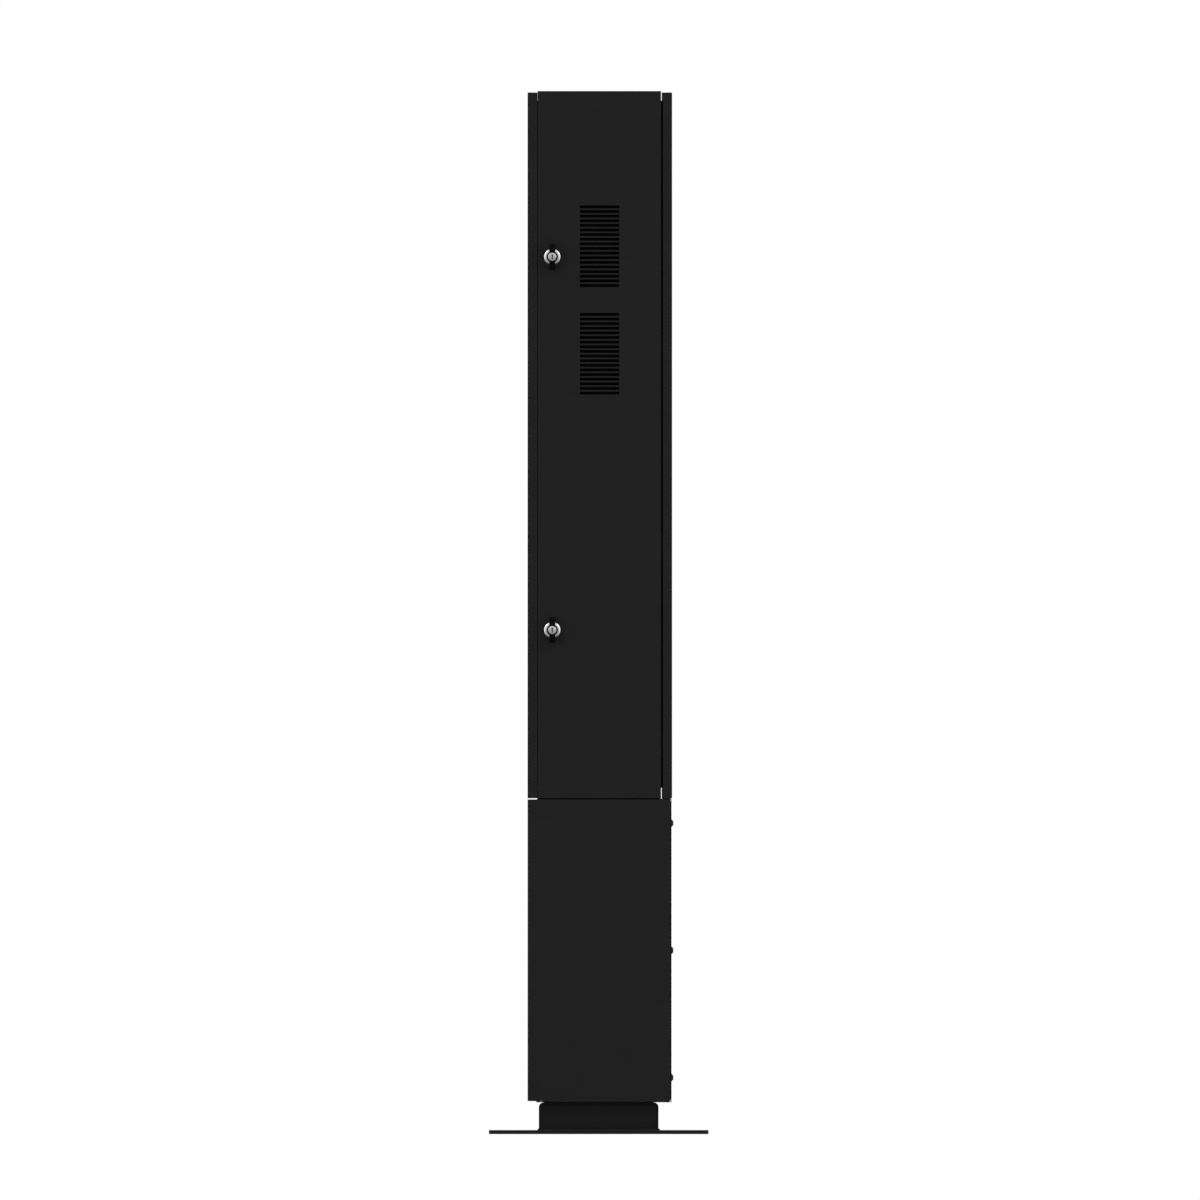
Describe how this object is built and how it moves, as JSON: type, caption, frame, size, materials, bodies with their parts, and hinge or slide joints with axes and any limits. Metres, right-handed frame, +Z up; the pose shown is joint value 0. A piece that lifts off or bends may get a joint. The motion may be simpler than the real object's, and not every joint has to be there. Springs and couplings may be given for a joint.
{
  "type": "locker cabinet",
  "caption": "Slim tall sheet-steel locker cabinet with a vented full-height door and wing-knob locks, on a pedestal with a side access panel and a bolt-down foot plate.",
  "frame": {"origin": "middle of the foot plate's underside, on the floor", "axes": "+X to the right and +Y to the back, seen from the door side, +Z up"},
  "size_m": [0.38, 0.5, 1.8045],
  "materials": {
    "powder_coat_black": "matte fine-texture black powder coat on sheet steel",
    "chrome": "polished chrome plating",
    "black_lacquer": "satin black lacquer on die-cast zinc",
    "black_screw": "black-oxide steel screw",
    "zinc_plated": "zinc-plated steel, satin",
    "rubber": "black moulded rubber",
    "filter_mat": "black open-cell dust filter mat"
  },
  "bodies": {
    "cabinet": {"base_plate": "powder_coat_black", "plinth_channel": "powder_coat_black", "plinth_end_front": "powder_coat_black", "plinth_end_rear": "powder_coat_black", "pedestal_floor": "powder_coat_black", "pedestal_shell": "powder_coat_black", "pedestal_top": "powder_coat_black", "access_panel": "powder_coat_black", "access_screw_1": "black_screw", "access_screw_2": "black_screw", "access_screw_3": "black_screw", "access_screw_4": "black_screw", "access_screw_5": "black_screw", "access_screw_6": "black_screw", "neck_frame": "powder_coat_black", "carcass_wrap": "powder_coat_black", "carcass_top": "powder_coat_black", "carcass_floor": "powder_coat_black", "cable_grommet": "rubber", "door_surround": "powder_coat_black", "side_panel_left": "powder_coat_black", "side_panel_right": "powder_coat_black", "rear_panel": "powder_coat_black", "shelf_1": "powder_coat_black", "shelf_2": "powder_coat_black", "shelf_3": "powder_coat_black", "shelf_upright_left_front": "powder_coat_black", "shelf_upright_left_rear": "powder_coat_black", "shelf_upright_right_front": "powder_coat_black", "shelf_upright_right_rear": "powder_coat_black", "hinge_bracket_1": "zinc_plated", "hinge_bracket_2": "zinc_plated", "hinge_bracket_3": "zinc_plated", "hinge_bracket_4": "zinc_plated", "hinge_pin_1": "zinc_plated", "hinge_pin_2": "zinc_plated", "hinge_pin_3": "zinc_plated", "hinge_pin_4": "zinc_plated"},
    "door": {"door_skin": "powder_coat_black", "door_inner_frame": "powder_coat_black", "door_gasket": "rubber", "vent_frame_upper": "powder_coat_black", "vent_frame_lower": "powder_coat_black", "filter_mat_upper": "filter_mat", "filter_mat_lower": "filter_mat", "hinge_arm_1": "zinc_plated", "hinge_arm_2": "zinc_plated", "hinge_arm_3": "zinc_plated", "hinge_arm_4": "zinc_plated", "upper_lock_rosette": "chrome", "upper_lock_housing": "zinc_plated", "lower_lock_rosette": "chrome", "lower_lock_housing": "zinc_plated"},
    "upper_knob": {"upper_wing_knob": "black_lacquer", "upper_lock_cam": "zinc_plated"},
    "lower_knob": {"lower_wing_knob": "black_lacquer", "lower_lock_cam": "zinc_plated"},
    "upper_plug": {"upper_key_plug": "chrome"},
    "lower_plug": {"lower_key_plug": "chrome"}
  },
  "joints": [
    {"name": "door_swing", "type": "hinge", "parent": "cabinet", "child": "door", "pos_m": [0.12, -0.2175, 0], "axis": [0, 0, 1], "range_deg": [0, 105]},
    {"name": "upper_knob_turn", "type": "hinge", "parent": "door", "child": "upper_knob", "pos_m": [-0.0803, -0.225, 1.5177], "axis": [0, -1, 0], "range_deg": [0, 90]},
    {"name": "lower_knob_turn", "type": "hinge", "parent": "door", "child": "lower_knob", "pos_m": [-0.0803, -0.225, 0.872], "axis": [0, -1, 0], "range_deg": [0, 90]},
    {"name": "upper_plug_turn", "type": "hinge", "parent": "upper_knob", "child": "upper_plug", "pos_m": [-0.0803, -0.24, 1.5177], "axis": [0, -1, 0], "range_deg": [0, 90]},
    {"name": "lower_plug_turn", "type": "hinge", "parent": "lower_knob", "child": "lower_plug", "pos_m": [-0.0803, -0.24, 0.872], "axis": [0, -1, 0], "range_deg": [0, 90]}
  ]
}
